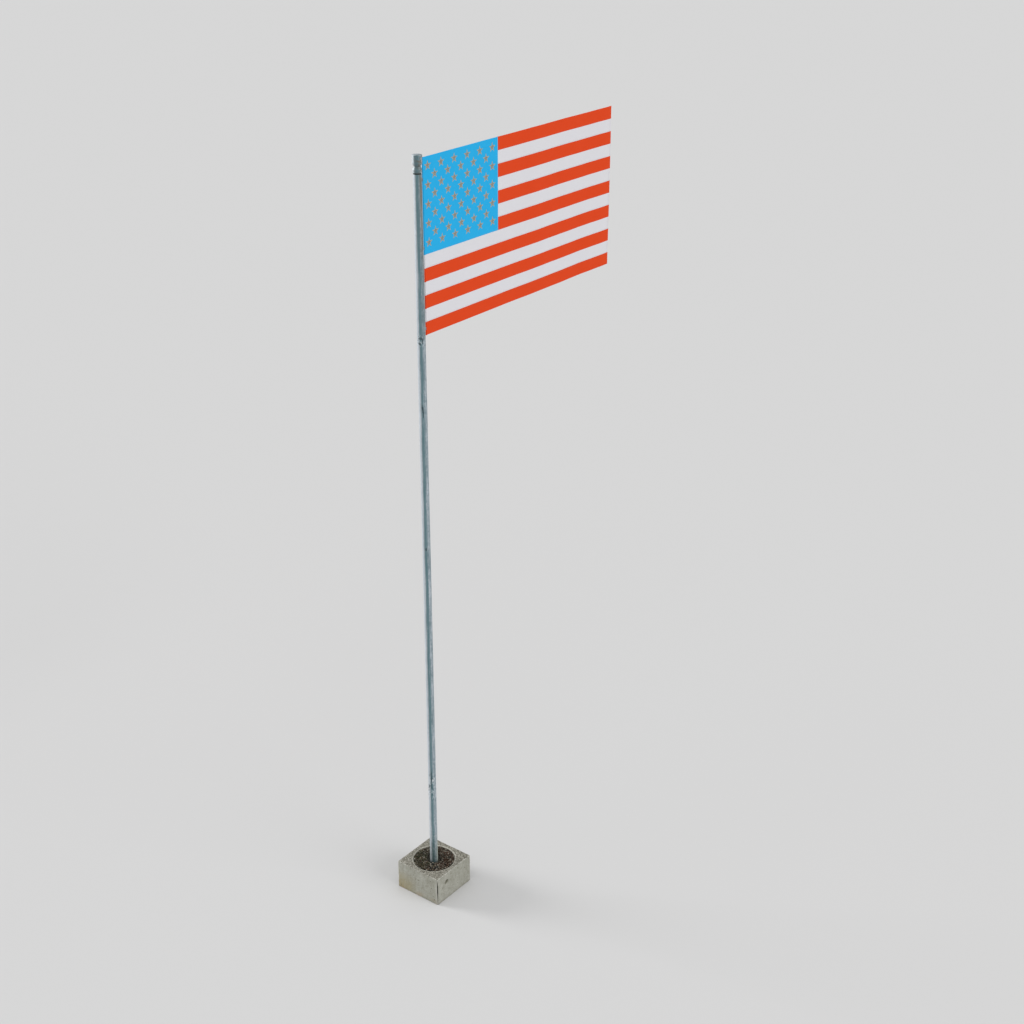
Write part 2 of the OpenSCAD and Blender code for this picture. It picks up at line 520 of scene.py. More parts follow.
def shade_of(colour):
    """One number from a colour wire, such as a different one for each cell."""
    return colour.node("ShaderNodeSeparateColor", inputs={0: colour})


def piece_attribute(place, name):
    """A number that a piece's own vertices hold."""
    return place.node("ShaderNodeAttribute", {"attribute_name": name}, out="Fac")


def earth_finish(name, dark, light, moss):
    """Dark crumbly earth with pale grit, reddish on one side, with a share of moss on the other, and a ring
    of painted shadow round the pole's foot.
    """
    material, place = new_finish(name)
    x, y, _ = parts_of(place)
    side = toward_side(x, y)
    patches = clouds(place, 0.07, 3, 0.6)
    clods = spread(clouds(place, 0.012, 3, 0.7))
    crumbs = clouds(place, 0.004, 3, 0.7)
    bit = shade_of(cells(place, 0.009, "Color"))
    grain = shade_of(cells(stretched(place, -1, 1, 1), 0.0095, "Color"))
    tone = grain * 0.40 + clods * 0.40 + crumbs * 0.20
    base = ramp(tone, (0.36, dark), (0.52, third_way(dark, light)), (0.70, light))
    warm = ease(side + patches * 0.12, 0.04, 0.14) * ease(crumbs, 0.35, 0.6)
    green = ease(patches * 0.5 - side, 0.26, 0.36) * ease(crumbs, 0.38, 0.62) * moss
    # A dark ring round the pole's foot: painted shadow.
    pole_foot_shadow = ease(root_of(x * x + y * y) + clods * 0.006, POLE_FOOT_R + 0.040, POLE_FOOT_R + 0.022)
    base = layered(base, (warm * 0.5, (78, 48, 30)), (ease(bit, 0.74, 0.78) * 0.55, (92, 60, 46)),
                   (ease(bit, 0.86, 0.88) * 0.85, (150, 145, 132)), (green, (72, 80, 46)),
                   (pole_foot_shadow * 0.85, (12, 17, 17)))
    bump = raised(clods, 0.0026)
    return set_shader(material, Base_Color=base, Roughness=0.95, Normal=raised(crumbs, 0.0020, bump),
                      Specular_IOR_Level=0.2)


def toward_side(x, y):
    """How far a place lies towards one side, 38 degrees round from +X."""
    return x * 0.79 + y * 0.61


def third_way(a, b):
    """The colour a third of the way from a to b."""
    return tuple(p + (q - p) / 3 for p, q in zip(a, b))


def galvanised(name):
    """Weathered galvanised steel, before what is its own on each piece: its colour, roughness and bump."""
    material, place = new_finish(name)
    flake = shade_of(cells(stretched(place, 1, 1, 0.7), 0.011, "Color"))
    streaks = spread(clouds(stretched(place, 1, 1, 0.03), 0.0075, 3, 0.6))
    blotch = clouds(place, 0.055, 5, 0.65, 0.4)
    specks = clouds(place, 0.0035, 3, 0.7)
    oxide = ease(blotch, 0.53, 0.68) * 0.6
    scratch = ease(clouds(stretched(place, 1, 1, 0.22), 0.0028, 2, 0.5), 0.66, 0.70)
    base = shades(streaks * 0.7 + flake * 0.3, (0.15, (118, 137, 144)), (0.50, (148, 163, 170)),
                  (0.85, (188, 197, 204)))
    base = layered(base, (oxide, (184, 190, 194)), (ease(blotch, 0.46, 0.34) * 0.35, (108, 128, 134)),
                   (ease(specks, 0.60, 0.72) * 0.35, (104, 120, 126)), (scratch * 0.4, (92, 112, 120)))
    rough = 0.42 + oxide * 0.3 + flake * 0.10
    bump = raised(blotch, 0.0006, raised(flake, 0.00012))
    return material, place, base, rough, bump


def round_axis(x, y):
    """The direction from the pole's axis, in radians from +X."""
    return y.maths("ARCTAN2", x)


def painted_light_bands(base, angle, edge):
    """Painted light along a tube: three dark bands of painted shade, one of them down the side that faces
    the camera, and a paler side that is a painted highlight.
    """
    # A painted highlight down one side, then painted shade in three bands round the tube.
    pale = (angle + math.radians(122)).maths("COSINE")
    bands = ((angle + math.radians(55)) * 3).maths("COSINE")
    return layered(base, (ease(pale, 0.45, 1.0) * 0.75, (206, 212, 218)),
                   (ease(bands, 0.1, 1.0) * ease(edge, 0.2, 0.6, 0.50, 0.95), (96, 128, 135)))


def knocked(base, angle, z, ragged):
    """Lays the pole's knocks over its colour. Also gives how deep they are, for the bump."""
    deep = None
    for height, degrees, wide, tall, _, bare in KNOCKS:
        across = (angle - math.radians(degrees)) * (POLE_FOOT_R / wide)
        up = (z - height) / tall
        away = root_of(across * across + up * up) + ragged
        dark = ease(away, 1.35, 0.85)
        base = layered(base, (dark * 0.72, (50, 68, 74)))
        if bare:
            base = layered(base, (ease(away, 0.85, 0.55) * 0.9, (216, 222, 226)))
        deep = dark if deep is None else most(deep, dark)
    return base, deep


def tube_finish():
    """The pole's galvanising: painted shade in bands and a painted highlight down one side, knocks, painted
    shade on its right from the flag's foot up, a brown run, and a dull foot, darkened partly by weathering
    and partly by painted shade, with a painted highlight down its right edge.
    """
    material, place, base, rough, bump = galvanised("galvanised_tube")
    x, y, z = parts_of(place)
    angle, side = round_axis(x, y), toward_side(x, y)
    wander = (clouds(stretched(place, 0, 0, 1), 0.35, 2, 0.5) - 0.5) * 0.6
    edge = clouds(stretched(place, 1, 1, 0.06), 0.006, 3, 0.6)
    base = painted_light_bands(base, angle + wander, edge)
    patchy = clouds(stretched(place, 1, 1, 0.6), 0.013, 4, 0.75)
    rough_part = most(ease(abs(z - 0.93), 0.16, 0.08), ease(abs(z - 4.55), 0.06, 0.03)) * 0.7
    rough_part = most(rough_part, ease(z, EARTH_TOP + 0.45, EARTH_TOP + 0.10) * 0.5)
    base = layered(base, (ease(patchy, 0.52, 0.62) * rough_part, (196, 206, 210)),
                   (ease(patchy, 0.46, 0.38) * rough_part, (66, 88, 94)))
    base, deep = knocked(base, angle, z, (patchy - 0.5) * 2.2)
    bump = raised(1 - deep, 0.0008, bump)

    # Darker on the pole's right, as the camera sees it, from the flag's foot up: painted shade.
    flag_side_painted_shade = ease(side, -0.008, 0.016) * ease(z, FLAG_LOW - 0.04, FLAG_LOW + 0.04)
    run = ease(side, 0.010, 0.022) * ease(z, POLE_TOP_Z - 0.75, POLE_TOP_Z - 0.10)
    run = run * ease(clouds(stretched(place, 1, 1, 0.05), 0.012, 3, 0.6), 0.34, 0.54)
    # The foot is darker and duller, partly weathering and partly painted shade; the next mask is painted
    # shade down the foot's middle as the camera sees it.
    low = ease(z + patchy * 0.08, EARTH_TOP + 0.34, EARTH_TOP + 0.04)
    middle = ease(abs(angle + math.radians(59)), 0.50, 0.15) * low
    # The pale strip on the foot's right edge is a painted highlight.
    base = layered(base, (flag_side_painted_shade * 0.42, (86, 106, 111)), (run * 0.66, (116, 100, 70)),
                   (low * 0.50, (92, 104, 100)), (ease(side, 0.0205, 0.0265) * low * 0.80, (196, 206, 198)),
                   (middle * 0.45, (40, 66, 68)))
    return set_shader(material, Base_Color=base, Metallic=0.55 - low * 0.3, Roughness=rough + run * 0.2,
                      Normal=bump)


def fitting_finish(name, stain_and_painted_light):
    """Galvanising on a turned piece: fine rings, and by a share, brown stain on one side, a groove darkened
    partly by grime and partly by painted shade, a painted highlight down one side and painted shade down
    the side that faces the camera.
    """
    material, place, base, rough, bump = galvanised(name)
    x, y, z = parts_of(place)
    rings = clouds(stretched(place, 0.02, 0.02, 1), 0.0016, 2, 0.6)
    angle = round_axis(x, y)
    side = x * 0.87 + y * 0.49
    patch = ease(clouds(place, 0.018, 4, 0.65), 0.44, 0.60) * ease(side, -0.004, 0.022, 0.3, 1.0) * stain_and_painted_light
    # Darker in the groove: partly grime, partly painted shade.
    grime = ease(abs(z - GROOVE_Z + 4 * MM) + rings * 4 * MM, 17 * MM, 6 * MM) * stain_and_painted_light
    base = layered(base, (ease(rings, 0.52, 0.7) * 0.25, (92, 108, 114)),
                   # Next, a painted highlight down one side, then painted shade down the side that faces
                   # the camera.
                   (ease(abs(angle + math.radians(122)), 0.75, 0.30) * stain_and_painted_light * 0.8, (220, 225, 229)),
                   (ease(abs(angle + math.radians(50)), 0.90, 0.30) * stain_and_painted_light, (80, 110, 117)),
                   (patch * 0.85, (108, 92, 72)), (grime * 0.5, (76, 92, 95)))
    return set_shader(material, Base_Color=base, Metallic=0.5, Roughness=rough + 0.1,
                      Normal=raised(rings, 0.0003, bump))


def stitches(along, across, rows):
    """Rows of stitches at given distances across a cloth."""
    length, width = 3.2 * MM, 1.1 * MM
    dash = ease(abs((along % length) / length - 0.5), 0.44, 0.36)
    found = None
    for row in rows:
        line = ease(abs(across - row), width / 2, width / 4) * dash
        found = line if found is None else most(found, line)
    return found


def cloth_finish(name, colour, shade, thread, height):
    """Woven nylon: a fine plain weave, stitched seams and slightly uneven dye, in screen colours."""
    material, flat = new_finish(name, "UV")
    u, v, _ = parts_of(flat)
    pitch = 0.7 * MM
    warp = abs((u % pitch) / pitch - 0.5)
    weft = abs((v % pitch) / pitch - 0.5)
    odd = ((u / pitch).maths("FLOOR") + (v / pitch).maths("FLOOR")) % 2
    weave = odd * warp + (1 - odd) * weft
    dye = clouds(flat, 0.22, 4, 0.55)
    slub = clouds(stretched(flat, 0.06, 1, 1), 0.0022, 2, 0.5)
    uneven = ease(dye, 0.3, 0.7) * 0.16 + ease(slub, 0.45, 0.7) * 0.12
    edge = least(v, height - v)
    rows = stitches(u, edge, (0.0022, 0.0074))
    from_fly = FLY_Y - parts_of(Wire(flat.output.node.outputs["Object"]))[1]
    sewn = most(rows, stitches(v, from_fly, (0.003, 0.009, 0.015, 0.021)))
    base = layered(srgb(*colour), (uneven, shade), (weave * 0.20, shade),
                   (ease(edge, 0.0102, 0.0088) * 0.16, shade), (sewn * 0.8, thread))
    return set_shader(material, Base_Color=base, Roughness=ease(dye, 0.2, 0.8, 0.62, 0.72),
                      Normal=raised(sewn, 0.0004, raised(weave, 0.00012)), Specular_IOR_Level=0.08)


def strands_along(distance):
    """Threads side by side, 0 between two and 1 on the middle of one."""
    return abs((distance % THREAD) / THREAD - 0.5) * 2


def thread_finish():
    """Satin thread: a brown-grey fill, with the strands laid across each arm, and a cream border."""
    material, flat = new_finish("star_thread", "UV")
    u, v, _ = parts_of(flat)
    fifth = math.tau / 5
    tip = math.radians(18)
    angle = (u.maths("ARCTAN2", v) + fifth / 2) % fifth - fifth / 2
    radius = root_of(u * u + v * v)
    along = radius * angle.maths("COSINE")
    across = abs(radius * angle.maths("SINE"))
    inward = (STAR_R - along) * math.sin(tip) - across * math.cos(tip)
    border = ease(inward, STAR_BORDER + 0.0004, STAR_BORDER - 0.0004)
    round_edge = strands_along(along * math.cos(tip) - across * math.sin(tip))
    strands = border * round_edge + (1 - border) * strands_along(along)
    tone = clouds(flat, 0.012, 3, 0.6) * 0.6 + strands * 0.4
    fill = shades(tone, (0.25, (116, 114, 105)), (0.5, (136, 135, 126)), (0.75, (156, 155, 146)))
    cream = shades(tone, (0.25, (144, 144, 128)), (0.5, (165, 165, 150)), (0.75, (186, 186, 172)))
    return set_shader(material, Base_Color=blend(border, fill, cream),
                      Roughness=ease(strands, 0, 1, 0.60, 0.48), Normal=raised(strands, 0.0003),
                      Specular_IOR_Level=0.3)


def floor_finish():
    """An even, matt pale grey."""
    material, _ = new_finish("pale_floor")
    return set_shader(material, Base_Color=(0.62, 0.62, 0.62), Roughness=0.9, Specular_IOR_Level=0.0)


# ---------------- base

def cast_block():
    """The concrete block: bevelled cube, pit cut out, then uneven faces, chipped arrises and pores."""
    block = added("cast_block", bpy.ops.mesh.primitive_cube_add, size=1,
                  location=(BLOCK_LOW + BLOCK_HIGH) / 2, scale=BLOCK_HIGH - BLOCK_LOW)
    at_origin(block)
    bevelled(block, 3 * MM)
    above, cone = 50 * MM, 6 * MM
    depth = BLOCK_H - PIT_FLOOR + above
    pit = added("pit_cutter", bpy.ops.mesh.primitive_cylinder_add, vertices=192, radius=PIT_R,
                depth=depth, location=(0, 0, PIT_FLOOR + depth / 2))
    mouth = added("mouth_cutter", bpy.ops.mesh.primitive_cone_add, vertices=192, radius1=PIT_R,
                  radius2=PIT_R + 2 * cone, depth=2 * cone, location=(0, 0, BLOCK_H))
    for cutter in (pit, mouth):
        cut = block.modifiers.new("cut", "BOOLEAN")
        cut.operation = "DIFFERENCE"
        cut.object = cutter
    grid = block.modifiers.new("grid", "REMESH")
    grid.mode = "VOXEL"
    grid.voxel_size = 3.4 * MM
    apply_all(block)
    bpy.data.objects.remove(pit)
    bpy.data.objects.remove(mouth)
    wear_block(block)
    smooth(block, 60)
    return settled(block, concrete_finish(), ["concrete_block"])


def pore_spots():
    """The block's pores, as (middle, radius, depth): three that make one big pock, then small ones."""
    draw = random.Random(4)
    spots = list(POCK)
    for _ in range(46):
        side = draw.choice([(1, 0), (-1, 0), (0, 1), (0, -1)])
        across = draw.uniform(-BLOCK_HALF + 0.02, BLOCK_HALF - 0.02)
        up = draw.uniform(0.02, BLOCK_H - 0.02)
        x = side[0] * BLOCK_HALF if side[0] else across
        y = side[1] * BLOCK_HALF if side[1] else across
        spots.append(((x, y, up), draw.uniform(0.003, 0.0062), draw.uniform(0.002, 0.004)))
    return spots


def waved_and_chipped(x, y, z):
    """How far a place on the block moves: waves of the mould, and chips along the arrises and corners."""
    arris, corner, skin = 16 * MM, 26 * MM, 9 * MM
    away = sorted([BLOCK_HALF - abs(x), BLOCK_HALF - abs(y), BLOCK_H - z])
    push = 0.7 * MM * noise.fractal(Vector((x, y, z)) * 14, 0.9, 2.0, 3)
    near = max(0.0, 1 - (away[0] + away[1]) / arris)
    if near > 0:
        chip = max(0.0, noise.fractal(Vector((x, y, z)) * 60, 0.8, 2.1, 4) + 0.25)
        push -= near * (0.3 * MM + chip * 2.2 * MM)
    push -= max(0.0, 1 - sum(away) / corner) * 0.6 * MM
    out = np.array([math.copysign(1, x) if BLOCK_HALF - abs(x) < skin else 0.0,
                    math.copysign(1, y) if BLOCK_HALF - abs(y) < skin else 0.0,
                    1.0 if BLOCK_H - z < skin else 0.0])
    return out * (push / (math.sqrt(out @ out) or 1))


def wear_block(block):
    """Moves the block's surface: waves and chips, then pores, then a groove where the mould's joint was."""
    co = places(block)
    out = np.array([waved_and_chipped(*place) for place in co])
    pores = np.zeros(len(co))
    for centre, radius, depth in pore_spots():
        offset = co - np.array(centre)
        wobble = 1 + 0.18 * np.sin(offset[:, 2] * 210 + offset[:, 1] * 260)
        dip = np.sqrt(np.clip(1 - (offset ** 2).sum(1) / (radius * wobble) ** 2, 0, 1))
        axis = 0 if abs(abs(centre[0]) - BLOCK_HALF) < MM else 1
        out[:, axis] -= math.copysign(1, centre[axis]) * (dip * depth)
        pores = np.maximum(pores, dip)
    off_joint = (BLOCK_HALF - co[:, 0]) + (BLOCK_HALF + co[:, 1])
    joint = np.exp(-(off_joint / (5 * MM)) ** 2) * step(co[:, 2], 0.006, 0.05)
    joint = joint * step(BLOCK_H - co[:, 2], 0.004, 0.03) * 1.2 * MM
    out[:, 0] -= joint
    out[:, 1] += joint
    co += out
    co[:, 2] = np.maximum(co[:, 2], 0)
    put_places(block, co)
    held = block.data.attributes.new("pore", "FLOAT", "POINT")
    held.data.foreach_set("value", pores.astype(np.float32))


def earth_height(x, y):
    """How high the earth stands at a place: clods, a hollow round the pole, a slump at the pit's wall."""
    radius = math.hypot(x, y)
    clods = 3.2 * MM * noise.fractal(Vector((x * 30, y * 30, 0.3)), 0.7, 2.1, 5)
    lumps = 2.4 * MM * noise.noise(Vector((x * 110, y * 110, 4.1)))
    hollow = 12 * MM * math.exp(-((radius - POLE_FOOT_R) / 0.020) ** 2)
    slump = 2.5 * MM * math.exp(-((radius - PIT_R) / 0.010) ** 2)
    return EARTH_TOP + 0.5 * MM + clods + lumps - hollow - slump


def earth_piece():
    """The earth: rings of clods from the pole out to the pit's wall, closed down to the pit's floor."""
    inner, outer, rings = POLE_FOOT_R - 0.5 * MM, PIT_R + 1.0 * MM, 52
    earth = added("packed_earth", bpy.ops.mesh.primitive_circle_add, vertices=320, radius=inner,
                  fill_type="NOTHING", location=(0, 0, PIT_FLOOR))
    at_origin(earth)
    edit()
    extrude_up(EARTH_TOP - PIT_FLOOR)
    radius = inner
    for ring in range(1, rings + 1):
        wider = inner + (outer - inner) * ring / rings
        extrude_up(0)
        widen(wider / radius, (0, 0, EARTH_TOP))
        radius = wider
    extrude_up(PIT_FLOOR - EARTH_TOP)
    bpy.ops.mesh.select_all(action="SELECT")
    bpy.ops.mesh.select_non_manifold()
    bpy.ops.mesh.bridge_edge_loops()
    edited()
    co = places(earth)
    for i in np.flatnonzero(co[:, 2] > EARTH_TOP - MM):
        co[i, 2] = earth_height(co[i, 0], co[i, 1])
    put_places(earth, co)
    outwards(earth)
    smooth(earth, 80)
    finish = earth_finish("dark_earth", srgb(8, 7, 6), srgb(84, 76, 63), 0.7)
    return settled(earth, finish, ["earth_fill"])


def scattered(name, shape, count, sizes, seed, finish, sink=0.3, flat=(1, 1, 1)):
    """Copies of one small shape, strewn over the earth and turned every way."""
    draw = random.Random(seed)
    pieces = []
    for _ in range(count):
        radius = math.sqrt(draw.uniform((POLE_FOOT_R + 0.020) ** 2, (PIT_R - 0.005) ** 2))
        angle = draw.uniform(0, math.tau)
        x, y = radius * math.cos(angle), radius * math.sin(angle)
        size = draw.uniform(*sizes) if draw.random() < 0.75 else draw.uniform(sizes[0], sizes[1] * 1.5)
        spin = Matrix.Rotation(draw.uniform(0, math.tau), 4, "Z")
        lean = Matrix.Rotation(draw.uniform(-0.5, 0.5), 4, "X")
        lean = lean @ Matrix.Rotation(draw.uniform(-0.5, 0.5), 4, "Y")
        scale = [size * share * draw.uniform(0.7, high) for share, high in zip(flat, (1.3, 1.3, 1.2))]
        height = earth_height(x, y) + size * flat[2] * (1 - sink)
        turn = spin @ lean @ Matrix.Diagonal((*scale, 1))
        pieces.append(copied(shape, Matrix.Translation((x, y, height)) @ turn))
    bpy.data.objects.remove(shape)
    return settled(joined(name, pieces), finish)


def crumb_shape():
    """One crumb of earth, a lumpy ball of few faces."""
    crumb = added("crumb", bpy.ops.mesh.primitive_ico_sphere_add, subdivisions=1, radius=1)
    co = places(crumb)
    put_places(crumb, co * (1 + 0.25 * np.sin(co[:, :1] * 5 + co[:, 1:2] * 3 + co[:, 2:] * 7)))
    return crumb


def flake_shape():
    """One flake of bark, a bent slip with thin ends."""
    flake = added("flake", bpy.ops.mesh.primitive_cube_add, size=2)
    edit()
    bpy.ops.mesh.subdivide(number_cuts=2)
    edited()
    co = places(flake)
    taper = 1 - 0.55 * co[:, 0] ** 2
    co[:, 1] *= taper
    co[:, 2] = co[:, 2] * taper + 0.8 * co[:, 0] ** 2
    put_places(flake, co)
    return flake


def base_pieces():
    """The block, the earth in its pit, and what lies loose on the earth."""
    cast_block()
    earth_piece()
    crumb_tone = earth_finish("earth_crumbs", srgb(8, 7, 6), srgb(104, 95, 81), 0.5)
    scattered("earth_crumbs", crumb_shape(), 1500, (1.0 * MM, 4.6 * MM), 11, crumb_tone)
    pebble_tone = earth_finish("pebbles", srgb(128, 122, 111), srgb(192, 186, 174), 0.1)
    scattered("pebbles", crumb_shape(), 260, (2.0 * MM, 4.6 * MM), 12, pebble_tone, 0.5, (1, 1, 0.7))
    bark_tone = earth_finish("bark_flakes", srgb(66, 38, 28), srgb(120, 78, 58), 0.0)
    scattered("bark_flakes", flake_shape(), 150, (2.5 * MM, 6.0 * MM), 13, bark_tone, 0.2, (1, 0.45, 0.16))


# ---------------- pole and truck

def pole_radius(z):
    """The pole's outer radius: straight in the earth, tapered above it."""
    return float(np.interp(z, [POLE_LOW.z, EARTH_TOP, POLE_TOP_Z], [POLE_FOOT_R, POLE_FOOT_R, POLE_TOP_R]))


def pole_rings():
    """The rings of the pole's tube, closer where it is knocked, then its top edge and its bore."""
    apart, closer, least_apart = 45 * MM, 5 * MM, 3.5 * MM
    buried = EARTH_TOP - 30 * MM
    heights = set(np.linspace(PIT_FLOOR, buried, 3)) | set(np.arange(buried, POLE_TOP_Z - 0.02, apart))
    for height, _, _, tall, _, _ in KNOCKS:
        heights |= set(np.arange(height - 2 * tall, height + 2 * tall, closer))
    kept = [PIT_FLOOR]
    for z in sorted(heights):
        if z - kept[-1] > least_apart and z < POLE_TOP_Z - 4 * MM:
            kept.append(z)
    broken, bore_r = 0.8 * MM, POLE_TOP_R - POLE_WALL
    return [(z, pole_radius(z)) for z in kept] + [
        (POLE_TOP_Z - broken, POLE_TOP_R), (POLE_TOP_Z, POLE_TOP_R - broken), (POLE_TOP_Z, bore_r),
        (POLE_TOP_Z - 0.03, bore_r)]


def pole_piece():
    """The pole's tube: drawn up ring by ring, then knocked, waved a little and given its weld's bead."""
    pole = turned("pole", pole_rings(), 96)
    co = places(pole)
    angle = np.arctan2(co[:, 1], co[:, 0])
    outer = np.hypot(co[:, 0], co[:, 1])
    weld_angle, weld_half, weld_high = 2.6, 0.04, 0.45 * MM
    push = np.where(np.abs(angle - weld_angle) < weld_half, weld_high, 0.0)
    for height, degrees, wide, tall, deep, _ in KNOCKS:
        around = (angle - math.radians(degrees)) * outer
        push -= deep * MM * np.exp(-(around / wide) ** 2 - ((co[:, 2] - height) / tall) ** 2)
    wave = 0.12 * MM * np.sin(co[:, 2] * 37 + angle * 2)
    push = np.where(co[:, 2] > EARTH_TOP, push + wave, 0) * (outer > POLE_FOOT_R * 0.9)
    co[:, :2] *= (1 + push / np.maximum(outer, 1e-6))[:, None]
    put_places(pole, co)
    smooth(pole, 40)
    return settled(pole, tube_finish(), ["pole_tube"])


def truck_piece():
    """The turned truck: flange, V groove and cap, with broken edges and a shallow dish on top."""
    low, high, cap_r = TRUCK_LOW.z, TRUCK_HIGH.z, TRUCK_HIGH.x
    dish = high - 1.2 * MM
    rings = [(low, TRUCK_FOOT_R), (low, FLANGE_R), (FLANGE_TOP, FLANGE_R), (GROOVE_Z, GROOVE_R),
             (CAP_LOW, cap_r), (high, cap_r), (high, 20 * MM), (dish, 18 * MM), (dish, 6 * MM)]
    truck = turned("truck", rings, 96)
    bevelled(truck, 1.4 * MM, 3, 20)
    smooth(truck, 30)
    return settled(truck, fitting_finish("galvanised_truck", 0.8), ["truck_spool"])


def neck_node():
    """The neck under the truck keeps its own shape and takes a near-black finish: grime, and painted shade
    for the gap under the truck.
    """
    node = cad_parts["truck_spindle"]
    material, place = new_finish("grimy_shaded_neck")
    # Near black: partly grime, partly painted shade in the gap between the truck and the pole.
    grime = clouds(place, 0.01, 4, 0.6)
    set_shader(material, Base_Color=shades(grime, (0.3, (28, 32, 34)), (0.7, (70, 76, 72))),
               Roughness=0.7, Metallic=0.4, Normal=raised(grime, 0.0006))
    node.data.materials.clear()
    node.data.materials.append(material)


# ---------------- hoist fixing

def rod_piece(finish):
    """The rod in the flag's hem, with broken ends."""
    end = 1.2 * MM
    rings = [(ROD_LOW.z, ROD_R * 0.7), (ROD_LOW.z + end, ROD_R), (ROD_HIGH.z - end, ROD_R),
             (ROD_HIGH.z, ROD_R * 0.7)]
    rod = turned("hoist_rod_steel", rings, 32, (0, ROD_Y))
    smooth(rod, 40)
    return settled(rod, finish, ["hoist_rod"])


def lug_piece(node, finish):
    """One lug: a flat tab with broken edges, welded to the pole and, inside the hem, to the rod."""
    low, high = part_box(node)
    middle = (low.z + high.z) / 2
    thick = high.x - low.x
    root = pole_radius(middle) - 1.0 * MM
    tip = ROD_Y - ROD_R + 0.6 * MM
    tab = added("tab", bpy.ops.mesh.primitive_cube_add, size=1, location=(0, (root + tip) / 2, middle),
                scale=(thick, tip - root, high.z - low.z))
    at_origin(tab)
    bevelled(tab, 0.8 * MM)
    beads = [weld_bead(side * (thick / 2 + 0.8 * MM), low.z + MM, high.z - MM) for side in (-1, 1)]
    lug = joined(node + "_steel", [tab, *beads])
    smooth(lug, 40)
    return settled(lug, finish, [node])


def weld_bead(x, low, high):
    """A weld run, thick and thin by turns, laid in the corner between a tab and the pole."""
    count = 18
    rings = []
    for i in range(count + 1):
        end = 0.45 if i in (0, count) else 1.0
        rings.append((low + (high - low) * i / count, (2.4 if i % 2 else 1.9) * MM * end))
    centre_y = math.sqrt(pole_radius(low) ** 2 - x * x)
    return turned("weld", rings, 12, (x, centre_y))


# ---------------- flag

CLOTH_T = 0.45 * MM
LAP = 9 * MM                  # how far one strip overlaps the next in a seam
LAYER = 0.35 * MM             # how far a lapped strip stands off the flag's middle
HEM_FLY = 24 * MM
HEM_EDGE = 12 * MM
HEM_END_Y = HOIST_Y + 25 * MM
HEM_BACK = 2 * LAYER + CLOTH_T + 0.15 * MM
SLIT_H = LUG_H + 1.5 * MM     # the slit that lets a lug into the hem
SLIT_W = 7 * MM
SEAMS = [FLAG_TOP - STRIPE_H * n for n in range(STRIPES + 1)]
TURNING, FOLDED = -1, -2      # what a strip's x says where its fly hem turns, and where it lies back


def ripple(y, z):
    """How far the flag lies off its plane: slow waves that grow along the fly, and pulls from the lugs."""
    s = y - HOIST_Y
    t = z - (FLAG_TOP + FLAG_LOW) / 2
    grow = step(s, 0.03, 1.9)
    waves = (3.0 * np.sin(math.tau * (s / 1.02 + 0.20 * t) + 0.5)
             + 1.3 * np.sin(math.tau * (s / 0.43 - 0.42 * t) + 1.9)
             + 0.5 * np.sin(math.tau * (s / 0.19 + 0.95 * t) + 4.0)) * grow
    pulls = 0
    for lug_z in LUG_ZS:
        away = np.hypot(s, z - lug_z) + 1e-6
        fan = np.arctan2(z - lug_z, s + 0.02)
        pulls = pulls + 0.7 * np.sin(fan * 11) * np.exp(-away / 0.20) * step(s, 0.028, 0.06)
    return (waves + pulls) * MM


def zone(z, lines, reach):
    """1 within reach of a line, fading to 0 beyond it."""
    found = np.zeros_like(z)
    for line in lines:
        found = np.maximum(found, 1 - step(np.abs(z - line), reach, reach + 6 * MM))
    return found


def pucker(y, z):
    """Small gathers that stitching leaves along the seams."""
    near = np.zeros_like(y)
    for k, line in enumerate(SEAMS):
        beside = np.exp(-((z - line) / (11 * MM)) ** 2)
        if 0 < k < CANTON_STRIPES:
            beside = beside * (y > CANTON_Y - 12 * MM)
        wave = np.sin(y * 262 + 3.1 * k) + 0.6 * np.sin(y * 161 + 1.7 * k)
        near = near + 0.22 * beside * wave
    across = np.exp(-((y - CANTON_Y) / (11 * MM)) ** 2) * (z > CANTON_Z - LAP)
    near = near + 0.22 * across * np.sin(z * 240)
    return near * step(y, HOIST_Y + 0.03, HOIST_Y + 0.08) * MM


def along_fly(start, end, hoist_hem):
    """Where a strip's columns lie: distance along the cloth, y, x, and the way its face looks.

    The last columns are the fly hem. Their x says only whether the cloth turns there or lies folded back.
    """
    us, ys, xs, ways = [], [], [], []

    def put(y, x, way, further=None):
        """Adds a column, further along the cloth or as far as it lies from the last one."""
        if further is None:
            further = math.hypot(y - ys[-1], x - xs[-1]) if us else 0.0
        us.append(us[-1] + further if us else 0.0)
        ys.append(y)
        xs.append(x)
        ways.append(way)

    if hoist_hem:
        loop = (HEM_HIGH.y - HEM_LOW.y) / 2 - CLOTH_T / 2
        close = ROD_Y + 12 * MM
        for y in np.linspace(HEM_END_Y, close, 5):
            put(y, -HEM_BACK, math.pi)
        for y in np.linspace(close, ROD_Y, 7)[1:-1]:
            open_by = 1 - step(y, ROD_Y, close)
            put(y, -HEM_BACK - (loop - HEM_BACK) * open_by, math.pi)
        for turn in np.linspace(-math.pi / 2, -3 * math.pi / 2, 13):
            put(ROD_Y + loop * math.cos(turn), loop * math.sin(turn), math.pi / 2 - turn)
        for y in np.linspace(ROD_Y, close, 7)[1:]:
            put(y, loop * (1 - step(y, ROD_Y, close)), 0)
        start = close
    else:
        put(start, 0, 0)
    columns = max(2, round((end - start) / (6 * MM)))
    for y in np.linspace(start, end, columns + 1)[1:]:
        put(y, 0, 0)
    if end > FLY_Y - 0.1:
        for turn in np.linspace(0, math.pi, 7)[1:-1]:
            put(end, TURNING, turn, 0.3 * MM)
        for i in range(7):
            put(end - HEM_FLY * i / 6, FOLDED, math.pi, HEM_FLY / 6 if i else 0.3 * MM)
    return np.array(us), np.array(ys), np.array(xs), np.array(ways)


